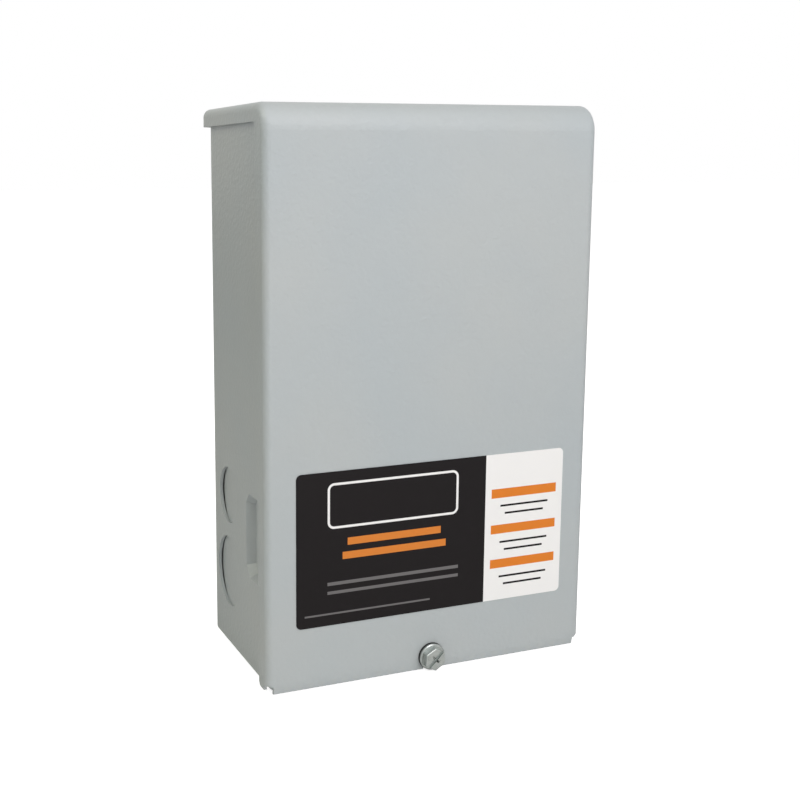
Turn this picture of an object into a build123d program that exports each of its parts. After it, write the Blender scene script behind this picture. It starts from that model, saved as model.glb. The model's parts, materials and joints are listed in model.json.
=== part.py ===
# Wall-mounted control box for a small pump motor: a folded steel box with a hook-on cover,
# holding a magnetic relay, a start capacitor, an overload with a reset button and a terminal block.
# X is to the right of someone facing the cover, +Y goes into the wall, +Z is up.
# The origin is the middle of the four wall screws, on the face of the wall. Millimetres.
import os
from math import atan2, cos, degrees, radians, sin, sqrt, tan

from build123d import *

os.makedirs("parts", exist_ok=True)

# ---------------------------------------------------------------- driving sizes
cover_width = 134.0
cover_height = 216.0          # bottom edge to the corner where face and roof would meet
cover_to_back = 69.2          # face of the cover to the back of the box
sheet = 1.2                   # steel of box and cover
roof_fall = 0.049             # the roof drops this much per mm towards the wall
face_bend = 9.5               # outer bend from face to roof
rear_bend = 3.4               # outer bend from roof to rear hook
fold_radius = 3.0             # outer bend from face to side flange
flange_depth = 8.5            # side flange behind the face
hook_drop = 6.8               # side flange and hook below the roof
hook_overhang = 4.75          # roof past the back of the box
roll_height = 5.0             # bottom of the face that curls back
roll_depth = 0.8
flange_lift = 1.5             # side flanges stop above the bottom edge
relief_height = 3.4           # notch between face and flange
side_gap = 0.5                # cover flange to box side
seat_gap = 0.1                # cover to box where one bears on the other
box_lift = 1.2                # bottom of the box above the cover's edge
box_fold = 2.0
box_front_bend = 8.0
foot_height = 5.6             # pressed feet hold the back off the wall
foot_radius = 10.0
foot_top_radius = 7.2
wall_hole_radius = 3.2
wall_hole_inset_x = 17.0        # wall holes in from the cover's sides
wall_hole_inset_z = 24.0        # and from its top and bottom
front_flange_height = 14.0
touch = 0.05                  # parts of the same body that only touch

wall_spacing_x = cover_width - 2 * wall_hole_inset_x
wall_spacing_z = cover_height - 2 * wall_hole_inset_z
front_y = -(cover_to_back + foot_height)
back_y = -foot_height
panel_y = back_y - sheet      # inner face of the back
base_z = -cover_height / 2
lip_y = back_y + hook_overhang
box_width = cover_width - 2 * (sheet + side_gap)
box_front_y = front_y + sheet + roll_depth + seat_gap
box_bottom_z = base_z + box_lift
floor_z = box_bottom_z + sheet
wall_x = box_width / 2 - sheet          # inner face of a side
wall_plane = Plane(origin=(0, back_y, 0), x_dir=(1, 0, 0), z_dir=(0, 1, 0))

# knockouts, left and right alike: (hole radius, height above the cover's edge)
knockout_to_back = 19.2                 # centres in front of the box's back
knockout_back = cover_to_back - knockout_to_back
side_knockouts = {"half_inch": (11.1, 63.5), "three_quarter": (14.1, 32.3)}
bottom_knockouts = ((-30.0, 14.1), (26.0, 11.1))   # (x, radius)
bottom_knockout_y = -38.0
knockout_slit = 0.15
knockout_push = 1.7                     # the rear edge of a slug is struck in this far

# pry recesses beside the cover's flanges
recess_height_rear = 25.0
recess_height_front = 33.0
recess_front = 7.0                      # behind the face
recess_rear = 27.5
recess_z = base_z + 54.5
recess_depth = 3.2
recess_taper = 32.0

# cover screw, #10-32
screw_height = 5.4                      # above the cover's bottom edge
shank_radius = 2.33
shank_clearance = 0.07
screw_length = 10.0
washer_radius = 5.3
washer_thickness = 1.0
head_flange_radius = 5.2
head_flange_thickness = 1.0
hex_flats = 7.9
hex_height = 2.7
slot_width = 1.3
slot_depth = 1.1
cover_notch_clearance = 0.4
boss_length = 2.5

# printed label
label_width = 111.8
label_height = 59.0
label_x = 0.6
label_z = base_z + 53.6
label_corner = 2.0
label_thickness = 0.2


def roof_z(y):
    """Height of the roof's outer face at depth y."""
    return cover_height / 2 - roof_fall * (y - front_y)


def under_roof(y, drop):
    """A line below the roof, the drop measured square to it."""
    return roof_z(y) - drop * sqrt(1 + roof_fall**2)


# ---------------------------------------------------------------- cover
with BuildPart() as cover:
    with BuildSketch(Plane.YZ) as cover_side:
        with BuildLine():
            roll_start = (front_y, base_z + roll_height)
            roll_end = (front_y + roll_depth, base_z)
            TangentArc(roll_start, roll_end, tangent=(0, -1))
            Polyline(
                roll_start,
                (front_y, roof_z(front_y)),
                (lip_y, roof_z(lip_y)),
                (lip_y, base_z),
                roll_end,
            )
        make_face()
        face_corner = cover_side.vertices().sort_by_distance((front_y, roof_z(front_y), 0))[0]
        fillet(face_corner, radius=face_bend)
        rear_corner = cover_side.vertices().sort_by_distance((lip_y, roof_z(lip_y), 0))[0]
        fillet(rear_corner, radius=rear_bend)
    extrude(amount=cover_width / 2, both=True)
    side_faces = cover.faces().filter_by(Axis.X)
    side_folds = ShapeList(
        edge for face in side_faces for edge in face.edges() if edge.center().Z > base_z + touch
    )
    fillet(side_folds, radius=fold_radius)
    offset(amount=-sheet, openings=cover.faces().sort_by(Axis.Z)[0])
    # everything behind the side flanges and below the hook is open
    with BuildSketch(Plane.YZ) as behind_flange:
        with BuildLine():
            flange_y = front_y + flange_depth
            Polyline(
                (flange_y, base_z - sheet),
                (flange_y, under_roof(flange_y, hook_drop)),
                (lip_y + sheet, under_roof(lip_y + sheet, hook_drop)),
                (lip_y + sheet, base_z - sheet),
                close=True,
            )
        make_face()
        inner_corner = behind_flange.vertices().sort_by_distance(
            (flange_y, under_roof(flange_y, hook_drop), 0)
        )[0]
        fillet(inner_corner, radius=2.5)
    extrude(amount=cover_width, both=True, mode=Mode.SUBTRACT)
    # side flanges end above the bottom edge, with a notch at each fold
    for side in (-1, 1):
        edge_x = side * (cover_width / 2 - fold_radius)
        with BuildSketch(Plane.XY.offset(base_z - sheet)):
            with Locations((edge_x + side * cover_width / 2, front_y + fold_radius + flange_depth / 2)):
                Rectangle(cover_width, flange_depth + fold_radius / 2)
        extrude(amount=sheet + flange_lift, mode=Mode.SUBTRACT)
        with BuildSketch(Plane.XZ.offset(-front_y - fold_radius)) as relief:
            with Locations((edge_x + side * cover_width / 2, base_z)):
                Rectangle(cover_width, 2 * relief_height)
            fillet(relief.vertices().sort_by_distance((edge_x, base_z + relief_height, 0))[0], radius=1.4)
        extrude(amount=2 * fold_radius, mode=Mode.SUBTRACT)
    flange_corners = (
        cover.edges()
        .filter_by(Axis.X)
        .filter_by_position(Axis.Z, base_z + flange_lift - touch, base_z + flange_lift + touch)
        .filter_by_position(Axis.Y, flange_y - touch, flange_y + touch)
    )
    fillet(flange_corners, radius=2.0)
    # open notch that slips over the screw's shank
    with BuildSketch(Plane.XZ.offset(-front_y - 2 * fold_radius)):
        with Locations((0, base_z + screw_height)):
            notch_radius = shank_radius + cover_notch_clearance
            Circle(notch_radius)
        with Locations((0, base_z + screw_height / 2 - sheet)):
            Rectangle(2 * notch_radius, screw_height + 2 * sheet)
    extrude(amount=4 * fold_radius, mode=Mode.SUBTRACT)
cover.part.label = "cover"
export_step(cover.part, "parts/cover.step")

# foam strip inside the rear hook
gasket_thickness = 3.2
gasket_below = 1.0
with BuildPart() as hook_gasket:
    with BuildSketch(Plane.YZ):
        with BuildLine():
            gasket_back = lip_y - sheet
            gasket_front = gasket_back - gasket_thickness
            gasket_bottom = under_roof(lip_y, hook_drop) - gasket_below
            Polyline(
                (gasket_back, gasket_bottom),
                (gasket_back, under_roof(gasket_back, rear_bend)),
                (gasket_front, under_roof(gasket_front, rear_bend)),
                (gasket_front, gasket_bottom),
                close=True,
            )
        make_face()
    extrude(amount=box_width / 2 - box_fold, both=True)
hook_gasket.part.label = "hook_gasket"
export_step(hook_gasket.part, "parts/hook_gasket.step")

with BuildPart() as label:
    with BuildSketch(Plane.XZ.offset(-front_y)):
        with Locations((label_x, label_z)):
            RectangleRounded(label_width, label_height, label_corner)
    extrude(amount=label_thickness)
label.part.label = "label"
export_step(label.part, "parts/label.step")

# ---------------------------------------------------------------- places of what the back carries
screw_radius = 1.9            # self-tapping screws into the back
screw_head_radius = 3.6
screw_head_height = 1.9
tapped_gap = 0.05             # screw shank to the hole it cuts
free_gap = 0.25               # screw shank to a hole it only passes
screw_past_back = 1.6         # tip behind the back panel
part_gap = 0.1

# start capacitor, lying across the top of the box
can_radius = 22.0
can_left = -38.0
can_right = 32.0
can_below_roof = 24.0
can_z = cover_height / 2 - can_below_roof - can_radius
can_y = panel_y - can_radius
strap_thickness = 0.8
strap_width = 13.0
strap_x = 6.0
strap_foot = 10.5
strap_hole_z = can_radius + strap_thickness + strap_foot * 0.55

# magnetic relay, left of centre
relay_x = -33.0
relay_height = 62.0
relay_below_can = 3.0
relay_top = can_z - can_radius - relay_below_can
relay_bottom = relay_top - relay_height
relay_width = 52.0
relay_base_thickness = 5.0
relay_screw_x = 20.0          # either side of relay_x
relay_screw_edge = 5.0

# overload, right of centre
overload_x = 32.0
overload_height = 40.0
overload_below_can = 14.0
overload_top = can_z - can_radius - overload_below_can
overload_bottom = overload_top - overload_height
overload_width = 34.0
overload_depth = 22.0
overload_ear = 8.0
overload_ear_height = 12.0
overload_ear_thickness = 4.0
overload_ear_z = (overload_top + overload_bottom) / 2

# terminal block, low in the box
pole_count = 5
pole_pitch = 18.6
block_z = base_z + 51.0
block_height = 28.0
block_depth = 12.0
block_ear = 7.5
block_width = pole_count * pole_pitch + 2.4
block_screw_x = block_width / 2 + block_ear / 2

ground_x = 0.0
ground_z = base_z + 18.0

back_screws = {
    "strap_screws": [(strap_x, can_z + side * strap_hole_z) for side in (-1, 1)],
    "relay_screws": [
        (relay_x - relay_screw_x, relay_top - relay_screw_edge),
        (relay_x + relay_screw_x, relay_bottom + relay_screw_edge),
    ],
    "overload_screws": [
        (overload_x + side * (overload_width + overload_ear) / 2, overload_ear_z) for side in (-1, 1)
    ],
    "block_screws": [(side * block_screw_x, block_z) for side in (-1, 1)],
    "ground_screw": [(ground_x, ground_z)],
}


def on_back(x, z, y=panel_y):
    """A plane facing the cover, centred at (x, z), lying at depth y."""
    return Plane(origin=(x, y, z), x_dir=(1, 0, 0), z_dir=(0, -1, 0))


# ---------------------------------------------------------------- box
def box_top(y):
    """Height of the box's top at depth y, just under the roof."""
    return under_roof(y, sheet + seat_gap)


def box_block(inset):
    """The box as a solid block, every face but the open front moved in by inset."""
    block_front = box_front_y + inset
    with BuildPart() as block:
        with BuildSketch(Plane.YZ) as block_side:
            with BuildLine():
                Polyline(
                    (block_front, box_bottom_z + inset),
                    (block_front, box_top(block_front) - inset),
                    (back_y - inset, box_top(back_y) - inset),
                    (back_y - inset, box_bottom_z + inset),
                    close=True,
                )
            make_face()
            top_front = block_side.vertices().sort_by_distance((block_front, box_top(block_front), 0))[0]
            fillet(top_front, radius=box_front_bend - inset)
        extrude(amount=box_width / 2 - inset, both=True)
        folds = ShapeList(
            edge
            for edge in block.edges().filter_by(Axis.X, reverse=True)
            if edge.center().Y > block_front + touch
        ) + block.edges().filter_by(Axis.X).filter_by_position(
            Axis.Y, back_y - inset - touch, back_y - inset + touch
        )
        fillet(folds, radius=box_fold - inset)
    return block.part


outer_block = box_block(0)
inner_block = box_block(sheet)
with BuildPart() as box_body:
    add(outer_block)
    add(inner_block, mode=Mode.SUBTRACT)
    # the open front, inside the rolled edges
    opening_top = box_top(box_front_y) - box_front_bend
    with BuildSketch(Plane.XZ.offset(-box_front_y - sheet - touch)):
        with Locations((0, (floor_z + opening_top) / 2)):
            Rectangle(box_width - 2 * box_fold, opening_top - floor_z)
    extrude(amount=2 * sheet, mode=Mode.SUBTRACT)
    # flange that the cover's screw goes into
    with BuildSketch(Plane.XY.offset(box_bottom_z + sheet / 2)):
        with Locations((0, box_front_y + sheet / 2)):
            Rectangle(box_width - 2 * box_fold, sheet)
    extrude(amount=front_flange_height)
    with BuildSketch(on_back(0, base_z + screw_height, box_front_y)):
        Circle(shank_radius + 1.6)
    extrude(amount=-(sheet + boss_length))
    with BuildSketch(on_back(0, base_z + screw_height, box_front_y - sheet)):
        Circle(shank_radius + shank_clearance)
    extrude(amount=-(3 * sheet + boss_length), mode=Mode.SUBTRACT)
    # pressed feet with the wall screw holes
    foot_taper = degrees(atan2(foot_radius - foot_top_radius, foot_height))
    with BuildSketch(wall_plane):
        with GridLocations(wall_spacing_x, wall_spacing_z, 2, 2):
            Circle(foot_radius)
    extrude(amount=foot_height, taper=foot_taper)
    with BuildSketch(wall_plane.offset(-sheet)):
        with GridLocations(wall_spacing_x, wall_spacing_z, 2, 2):
            Circle(foot_radius - sheet / 2)
    extrude(amount=foot_height, taper=foot_taper, mode=Mode.SUBTRACT)
    with BuildSketch(wall_plane):
        with GridLocations(wall_spacing_x, wall_spacing_z, 2, 2):
            Circle(wall_hole_radius)
    extrude(amount=foot_height + sheet, mode=Mode.SUBTRACT)
    # screw holes in the back
    for places in back_screws.values():
        for x, z in places:
            with BuildSketch(on_back(x, z)):
                Circle(screw_radius + tapped_gap)
            extrude(amount=-2 * sheet, mode=Mode.SUBTRACT)
    # pry recesses in both sides: a pressed trough, one sheet thick
    for side in (-1, 1):
        outer_face = Plane(origin=(side * box_width / 2, 0, 0), x_dir=(0, 1, 0), z_dir=(-side, 0, 0))
        for grow, start, mode in ((sheet, sheet / 2, Mode.ADD), (0, 0, Mode.SUBTRACT)):
            with BuildSketch(outer_face.offset(start)):
                with BuildLine():
                    y_front = front_y + recess_front - grow
                    y_rear = front_y + recess_rear + grow
                    z_centre = recess_z * outer_face.y_dir.Z
                    half_front = recess_height_front / 2 + grow
                    half_rear = recess_height_rear / 2 + grow
                    Polyline(
                        (y_front, z_centre - half_front),
                        (y_rear - 4, z_centre - half_front),
                        (y_rear, z_centre - half_rear),
                        (y_rear, z_centre + half_rear),
                        (y_rear - 4, z_centre + half_front),
                        (y_front, z_centre + half_front),
                        close=True,
                    )
                make_face()
            reach = recess_depth + sheet - start if grow else recess_depth
            extrude(amount=reach, taper=recess_taper, mode=mode)
    # knockout holes
    for side in (-1, 1):
        for radius, height in side_knockouts.values():
            with BuildSketch(Plane.YZ.offset(side * (wall_x - sheet))):
                with Locations((front_y + knockout_back, base_z + height)):
                    Circle(radius)
            extrude(amount=side * 3 * sheet, mode=Mode.SUBTRACT)
    for x, radius in bottom_knockouts:
        with BuildSketch(Plane.XY.offset(box_bottom_z - sheet)):
            with Locations((x, bottom_knockout_y)):
                Circle(radius)
        extrude(amount=3 * sheet, mode=Mode.SUBTRACT)
box_body.part.label = "box_body"
export_step(box_body.part, "parts/box_body.step")

# knockout slugs: discs still held at the edge nearer the cover, the rear edge struck inwards
for name, (radius, height) in side_knockouts.items():
    with BuildPart() as knockout:
        for side in (-1, 1):
            slug_radius = radius - knockout_slit
            lean = knockout_push / (2 * radius)
            tie = (side * (box_width - sheet) / 2, front_y + knockout_back - radius, base_z + height)
            rearward = (-side * sin(lean), cos(lean), 0)
            outward = (side * cos(lean), sin(lean), 0)
            with BuildSketch(Plane(origin=tie, x_dir=rearward, z_dir=outward)):
                with Locations((slug_radius + touch, 0)):
                    Circle(slug_radius)
            extrude(amount=sheet / 2, both=True)
    knockout.part.label = f"knockouts_{name}"
    export_step(knockout.part, f"parts/knockouts_{name}.step")

with BuildPart() as bottom_slugs:
    for x, radius in bottom_knockouts:
        with BuildSketch(Plane.XY.offset(box_bottom_z)):
            with Locations((x, bottom_knockout_y)):
                Circle(radius - knockout_slit)
        extrude(amount=sheet)
bottom_slugs.part.label = "knockouts_bottom"
export_step(bottom_slugs.part, "parts/knockouts_bottom.step")

# ---------------------------------------------------------------- cover screw and its seal
screw_z = base_z + screw_height
with BuildPart() as screw_washer:
    with BuildSketch(on_back(0, screw_z, front_y - touch)):
        Circle(washer_radius)
        Circle(shank_radius + touch, mode=Mode.SUBTRACT)
    extrude(amount=washer_thickness)
screw_washer.part.label = "screw_washer"
export_step(screw_washer.part, "parts/screw_washer.step")

head_y = front_y - touch - washer_thickness
with BuildPart() as cover_screw:
    with BuildSketch(on_back(0, screw_z, head_y)):
        Circle(head_flange_radius)
    extrude(amount=head_flange_thickness)
    rim = cover_screw.edges().sort_by(Axis.Y)[0]
    chamfer(rim, length=0.35)
    with BuildSketch(on_back(0, screw_z, head_y - head_flange_thickness)):
        RegularPolygon(radius=hex_flats / 2, side_count=6, major_radius=False, rotation=30)
    extrude(amount=hex_height)
    top_face = cover_screw.faces().sort_by(Axis.Y)[0]
    fillet(top_face.edges(), radius=0.35)
    head_top_y = head_y - head_flange_thickness - hex_height
    with BuildSketch(on_back(0, screw_z, head_top_y)):
        Rectangle(2 * head_flange_radius, slot_width, rotation=45)
    extrude(amount=-slot_depth, mode=Mode.SUBTRACT)
    with BuildSketch(on_back(0, screw_z, head_top_y)):
        Rectangle(3.6, 0.9, rotation=45)
        Rectangle(0.9, 3.6, rotation=45)
    extrude(amount=-1.7, taper=12, mode=Mode.SUBTRACT)
    with BuildSketch(on_back(0, screw_z, head_y)):
        Circle(shank_radius)
    extrude(amount=-screw_length)
    tip = cover_screw.edges().sort_by(Axis.Y)[-1]
    chamfer(tip, length=0.5)
cover_screw.part.label = "cover_screw"
export_step(cover_screw.part, "parts/cover_screw.step")


# ---------------------------------------------------------------- screws into the back
# name -> (depth of the seat under the head, head radius, head height)
screw_heads = {
    "strap_screws": (panel_y - strap_thickness, screw_head_radius, screw_head_height),
    "relay_screws": (panel_y - relay_base_thickness, screw_head_radius, screw_head_height),
    "overload_screws": (panel_y - overload_ear_thickness, screw_head_radius, screw_head_height),
    "block_screws": (panel_y - block_depth / 2, screw_head_radius, screw_head_height),
    "ground_screw": (panel_y, 5.0, 2.6),
}
for name, (seat_y, head_radius, head_height) in screw_heads.items():
    with BuildPart() as back_screw:
        for x, z in back_screws[name]:
            with BuildSketch(on_back(x, z, seat_y)):
                Circle(head_radius)
            extrude(amount=head_height)
            with BuildSketch(on_back(x, z, seat_y)):
                Circle(screw_radius)
            extrude(amount=-(back_y + screw_past_back - seat_y))
            with BuildSketch(on_back(x, z, seat_y - head_height)):
                Rectangle(3.8, 0.8)
                Rectangle(0.8, 3.8)
            extrude(amount=-1.2, taper=10, mode=Mode.SUBTRACT)
    back_screw.part.label = name
    export_step(back_screw.part, f"parts/{name}.step")

# ---------------------------------------------------------------- start capacitor
end_cap_thickness = 4.0
end_cap_lip = 1.6
tab_width = 6.35              # quarter-inch push-on tabs everywhere
tab_thickness = 0.8
tab_length = 8.5
can_tab_offset = 7.0          # two tabs, above and below the can's axis

with BuildPart() as capacitor_can:
    with BuildSketch(Plane.YZ.offset(can_left)):
        with Locations((can_y, can_z)):
            Circle(can_radius)
    extrude(amount=can_right - can_left)
    closed_end = capacitor_can.faces().sort_by(Axis.X)[0]
    fillet(closed_end.edges(), radius=2.5)
    with BuildSketch(Plane.YZ.offset(can_right)):
        with Locations((can_y, can_z)):
            Circle(can_radius - end_cap_lip)
    extrude(amount=-end_cap_thickness, mode=Mode.SUBTRACT)
    rim = capacitor_can.edges().sort_by(Axis.X)[-1]
    fillet(rim, radius=0.6)
capacitor_can.part.label = "capacitor_can"
export_step(capacitor_can.part, "parts/capacitor_can.step")

cap_face_x = can_right - 0.8
with BuildPart() as capacitor_end:
    with BuildSketch(Plane.YZ.offset(can_right - end_cap_thickness)):
        with Locations((can_y, can_z)):
            Circle(can_radius - end_cap_lip)
    extrude(amount=end_cap_thickness - 0.8)
    with BuildSketch(Plane.YZ.offset(cap_face_x)):
        with Locations((can_y, can_z)):
            Rectangle(2.0, 2 * can_radius - 10)
    extrude(amount=3.0)
capacitor_end.part.label = "capacitor_end"
export_step(capacitor_end.part, "parts/capacitor_end.step")

# a pair of tabs either side of the end's rib, standing along X
can_tab_y = (can_y - can_tab_offset, can_y + can_tab_offset)
with BuildPart() as capacitor_tabs:
    with BuildSketch(Plane.YZ.offset(cap_face_x)):
        with Locations(*[(y, can_z) for y in can_tab_y]):
            Rectangle(tab_thickness, tab_width)
    extrude(amount=tab_length)
    with BuildSketch(Plane.YZ.offset(cap_face_x)):
        with Locations(*[(y, can_z) for y in can_tab_y]):
            Circle(3.9)
    extrude(amount=0.9)
capacitor_tabs.part.label = "capacitor_tabs"
export_step(capacitor_tabs.part, "parts/capacitor_tabs.step")

# bleed resistor across the tabs, below them
resistor_z = can_z - 9.0
resistor_radius = 2.1
with BuildPart() as bleed_resistor:
    with BuildSketch(Plane.XZ.offset(-can_y - 5.0)):
        with Locations((cap_face_x + 3.0 + resistor_radius + part_gap, resistor_z)):
            Circle(resistor_radius)
    extrude(amount=10.0)
    fillet(bleed_resistor.faces().filter_by(Axis.Y).edges(), radius=0.7)
bleed_resistor.part.label = "bleed_resistor"
export_step(bleed_resistor.part, "parts/bleed_resistor.step")

# saddle strap over the can, screwed to the back above and below it
with BuildPart() as capacitor_strap:
    with BuildSketch(Plane.YZ.offset(strap_x - strap_width / 2)):
        strap_outer = can_radius + part_gap + strap_thickness
        with Locations((can_y, can_z)):
            Circle(strap_outer)
        with Locations(((can_y + panel_y) / 2, can_z)):
            Rectangle(panel_y - can_y, 2 * strap_outer)
        with Locations((panel_y - strap_thickness / 2, can_z)):
            Rectangle(strap_thickness, 2 * (strap_outer + strap_foot))
        with Locations((can_y, can_z)):
            Circle(can_radius + part_gap, mode=Mode.SUBTRACT)
        with Locations(((can_y + panel_y) / 2, can_z)):
            Rectangle(panel_y - can_y, 2 * (can_radius + part_gap), mode=Mode.SUBTRACT)
        with Locations((panel_y + can_radius / 2, can_z)):
            Rectangle(can_radius, 4 * can_radius, mode=Mode.SUBTRACT)
    extrude(amount=strap_width)
    for x, z in back_screws["strap_screws"]:
        with BuildSketch(on_back(x, z)):
            Circle(screw_radius + free_gap)
        extrude(amount=2 * strap_thickness, mode=Mode.SUBTRACT)
capacitor_strap.part.label = "capacitor_strap"
export_step(capacitor_strap.part, "parts/capacitor_strap.step")

# ---------------------------------------------------------------- magnetic relay
relay_face_y = panel_y - relay_base_thickness
relay_z = (relay_bottom + relay_top) / 2
coil_y = -27.0                # the coil stands upright in front of the base
yoke_thickness = 2.1
yoke_half_width = 9.0
ear_thickness = 1.5
ear_gap = 0.3
pivot_y = relay_face_y - 2.8
pivot_z = relay_z - 18.3
pin_radius = 1.0
pin_gap = 0.05
knuckle_radius = 2.2
armature_thickness = 2.0
armature_length = 26.0
open_angle = 7.0              # the armature hangs this far open with the coil dead
closed_gap = 0.3              # armature to pole face with the coil live
pole_z = pivot_z + armature_thickness / 2 + closed_gap
pole_radius = 6.5
pole_thickness = 1.5
core_radius = 4.0
bobbin_radius = 12.2
bobbin_flange = 1.5
bobbin_bottom = pole_z + pole_thickness + part_gap
yoke_top = relay_top - 8.0
bobbin_top = yoke_top - yoke_thickness
winding_radius = 11.2
contact_reach = 31.0          # pivot to the contact's centre
contact_radius = 2.0
contact_height = 1.0
spring_reach = 22.5
spring_radius = 1.6
spring_wire = 0.4

with BuildPart() as relay_base:
    with BuildSketch(on_back(relay_x, relay_z)):
        RectangleRounded(relay_width, relay_top - relay_bottom, 3.0)
    extrude(amount=relay_base_thickness)
    for x, z in back_screws["relay_screws"]:
        with BuildSketch(on_back(x, z)):
            Circle(screw_radius + free_gap)
        extrude(amount=2 * relay_base_thickness, mode=Mode.SUBTRACT)
relay_base.part.label = "relay_base"
export_step(relay_base.part, "parts/relay_base.step")

ear_x = yoke_half_width + ear_gap
with BuildPart() as relay_yoke:
    with BuildSketch(Plane.YZ.offset(relay_x)):
        with BuildLine():
            inner_y = relay_face_y - yoke_thickness
            Polyline(
                (relay_face_y, bobbin_bottom),
                (relay_face_y, yoke_top),
                (coil_y - bobbin_radius, yoke_top),
                (coil_y - bobbin_radius, bobbin_top),
                (inner_y, bobbin_top),
                (inner_y, bobbin_bottom),
                close=True,
            )
        make_face()
    extrude(amount=ear_x + ear_thickness, both=True)
    # ears that carry the pivot pin
    with BuildSketch(Plane.YZ.offset(relay_x - ear_x - ear_thickness)):
        with Locations((pivot_y, pivot_z)):
            Circle(pin_radius + 1.8)
        with Locations(((relay_face_y + pivot_y) / 2, (pivot_z + bobbin_bottom + 4) / 2)):
            Rectangle(relay_face_y - pivot_y, bobbin_bottom + 4 - pivot_z)
    extrude(amount=ear_thickness)
    with BuildSketch(Plane.YZ.offset(relay_x + ear_x)):
        with Locations((pivot_y, pivot_z)):
            Circle(pin_radius + 1.8)
        with Locations(((relay_face_y + pivot_y) / 2, (pivot_z + bobbin_bottom + 4) / 2)):
            Rectangle(relay_face_y - pivot_y, bobbin_bottom + 4 - pivot_z)
    extrude(amount=ear_thickness)
    with BuildSketch(Plane.YZ.offset(relay_x - 2 * ear_x)):
        with Locations((pivot_y, pivot_z)):
            Circle(pin_radius)
    extrude(amount=4 * ear_x, mode=Mode.SUBTRACT)
relay_yoke.part.label = "relay_yoke"
export_step(relay_yoke.part, "parts/relay_yoke.step")

with BuildPart() as armature_pin:
    with BuildSketch(Plane.YZ.offset(relay_x - ear_x - ear_thickness)):
        with Locations((pivot_y, pivot_z)):
            Circle(pin_radius)
    extrude(amount=2 * (ear_x + ear_thickness))
armature_pin.part.label = "armature_pin"
export_step(armature_pin.part, "parts/armature_pin.step")

with BuildPart() as relay_core:
    with BuildSketch(Plane.XY.offset(pole_z)):
        with Locations((relay_x, coil_y)):
            Circle(pole_radius)
    extrude(amount=pole_thickness)
    with BuildSketch(Plane.XY.offset(pole_z)):
        with Locations((relay_x, coil_y)):
            Circle(core_radius)
    extrude(amount=bobbin_top - pole_z)
relay_core.part.label = "relay_core"
export_step(relay_core.part, "parts/relay_core.step")

with BuildPart() as coil_bobbin:
    with BuildSketch(Plane.XY.offset(bobbin_bottom)):
        with Locations((relay_x, coil_y)):
            Circle(core_radius + 1.4)
    extrude(amount=bobbin_top - bobbin_bottom)
    for z in (bobbin_bottom, bobbin_top - bobbin_flange):
        with BuildSketch(Plane.XY.offset(z)):
            with Locations((relay_x, coil_y)):
                Circle(bobbin_radius)
        extrude(amount=bobbin_flange)
    with BuildSketch(Plane.XY.offset(bobbin_bottom)):
        with Locations((relay_x, coil_y)):
            Circle(core_radius + touch)
    extrude(amount=bobbin_top - bobbin_bottom, mode=Mode.SUBTRACT)
coil_bobbin.part.label = "coil_bobbin"
export_step(coil_bobbin.part, "parts/coil_bobbin.step")

with BuildPart() as coil_winding:
    with BuildSketch(Plane.XY.offset(bobbin_bottom + bobbin_flange)):
        with Locations((relay_x, coil_y)):
            Circle(winding_radius)
            Circle(core_radius + 1.4, mode=Mode.SUBTRACT)
    extrude(amount=bobbin_top - bobbin_bottom - 2 * bobbin_flange)
coil_winding.part.label = "coil_winding"
export_step(coil_winding.part, "parts/coil_winding.step")

# the armature and its contact are drawn flat, reach along x and height along y, then hang open
tilt = radians(open_angle)
armature_plane = Plane(
    origin=(relay_x, pivot_y, pivot_z),
    x_dir=(0, -cos(tilt), -sin(tilt)),
    z_dir=(-1, 0, 0),
)
with BuildPart() as relay_armature:
    with BuildSketch(armature_plane):
        Circle(knuckle_radius)
        with Locations((armature_length / 2, 0)):
            Rectangle(armature_length, armature_thickness)
        Circle(pin_radius + pin_gap, mode=Mode.SUBTRACT)
    extrude(amount=yoke_half_width, both=True)
relay_armature.part.label = "relay_armature"
export_step(relay_armature.part, "parts/relay_armature.step")

blade_thickness = 0.4
with BuildPart() as moving_contact:
    with BuildSketch(armature_plane):
        with Locations(((12 + contact_reach + 3) / 2, -(armature_thickness + blade_thickness) / 2)):
            Rectangle(contact_reach + 3 - 12, blade_thickness)
    extrude(amount=3.5, both=True)
    button_seat = armature_plane.offset(0).shift_origin(
        armature_plane.from_local_coords((contact_reach, -armature_thickness / 2 - blade_thickness, 0))
    )
    with BuildSketch(Plane(origin=button_seat.origin, z_dir=-armature_plane.y_dir)):
        Circle(contact_radius)
    extrude(amount=contact_height)
moving_contact.part.label = "moving_contact"
export_step(moving_contact.part, "parts/moving_contact.step")

# the lower contact, on a tongue from the base; the moving one rests on it
meet = armature_plane.from_local_coords(
    (contact_reach, -armature_thickness / 2 - blade_thickness - contact_height, 0)
)
fixed_top = meet.Z - contact_radius * sin(tilt) - part_gap
tongue_thickness = 0.9
with BuildPart() as fixed_contact:
    with BuildSketch(Plane.XY.offset(fixed_top - contact_height - tongue_thickness)):
        tongue_end = meet.Y - contact_radius - 1.6
        with Locations((relay_x, (relay_face_y + tongue_end) / 2)):
            Rectangle(8.0, relay_face_y - tongue_end)
    extrude(amount=tongue_thickness)
    with BuildSketch(Plane.XY.offset(fixed_top - contact_height)):
        with Locations((relay_x, meet.Y)):
            Circle(contact_radius)
    extrude(amount=contact_height)
fixed_contact.part.label = "fixed_contact"
export_step(fixed_contact.part, "parts/fixed_contact.step")

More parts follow.
